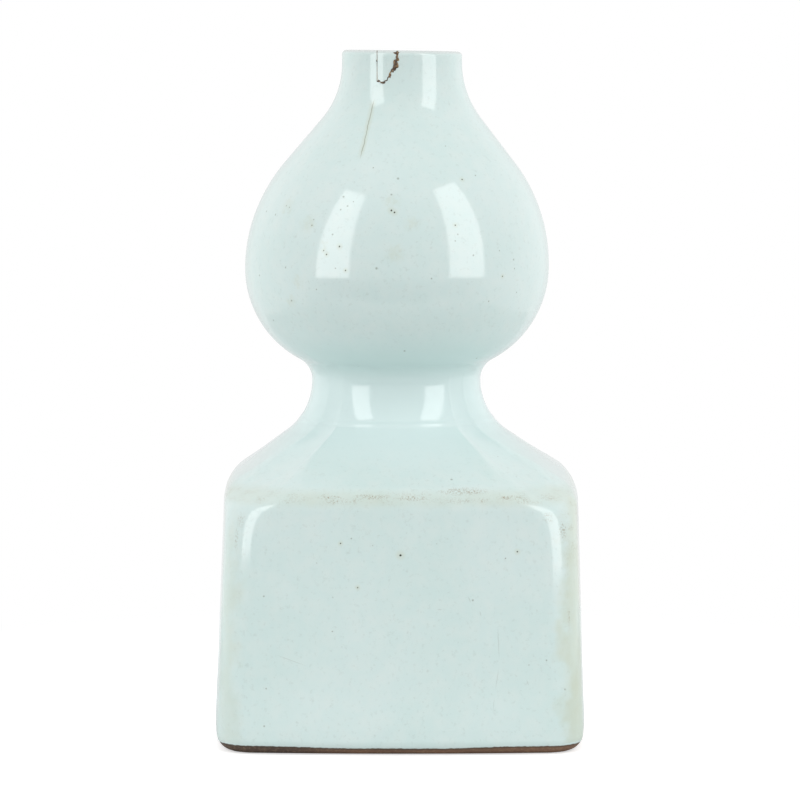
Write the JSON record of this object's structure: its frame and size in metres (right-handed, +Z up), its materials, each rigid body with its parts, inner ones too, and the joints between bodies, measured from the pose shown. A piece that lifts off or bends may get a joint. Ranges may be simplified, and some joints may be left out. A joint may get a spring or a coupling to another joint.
{
  "type": "double gourd vase",
  "caption": "Tall glazed porcelain double gourd vase: a short neck on a round bulb, a pinched waist, and a square body with rounded corners on a low foot.",
  "frame": {"origin": "centre of the foot, on the surface that the vase stands on", "axes": "+Z up along the vase's axis and out of the mouth, front (the side with the glued rim shard) faces -Y, +X to the right"},
  "size_m": [0.1736, 0.1736, 0.32],
  "materials": {
    "celadon_glaze": "glossy pale blue-green celadon glaze",
    "dressed_foot": "dark brown iron dressing on the lowest edge, glaze above it",
    "brown_glue": "aged brown glue, slightly lumpy"
  },
  "bodies": {
    "root": {"neck_ring": "celadon_glaze", "rim_shard": "celadon_glaze", "shard_glue": "brown_glue", "bulb_upper_half": "celadon_glaze", "bulb_lower_half": "celadon_glaze", "waist_ring": "celadon_glaze", "shoulder_dome": "celadon_glaze", "wall_front": "celadon_glaze", "wall_right": "celadon_glaze", "wall_back": "celadon_glaze", "wall_left": "celadon_glaze", "base_slab": "celadon_glaze", "foot_rim": "dressed_foot", "base_coil": "celadon_glaze", "coil_front_right": "celadon_glaze", "coil_back_right": "celadon_glaze", "coil_back_left": "celadon_glaze", "coil_front_left": "celadon_glaze"}
  },
  "joints": []
}
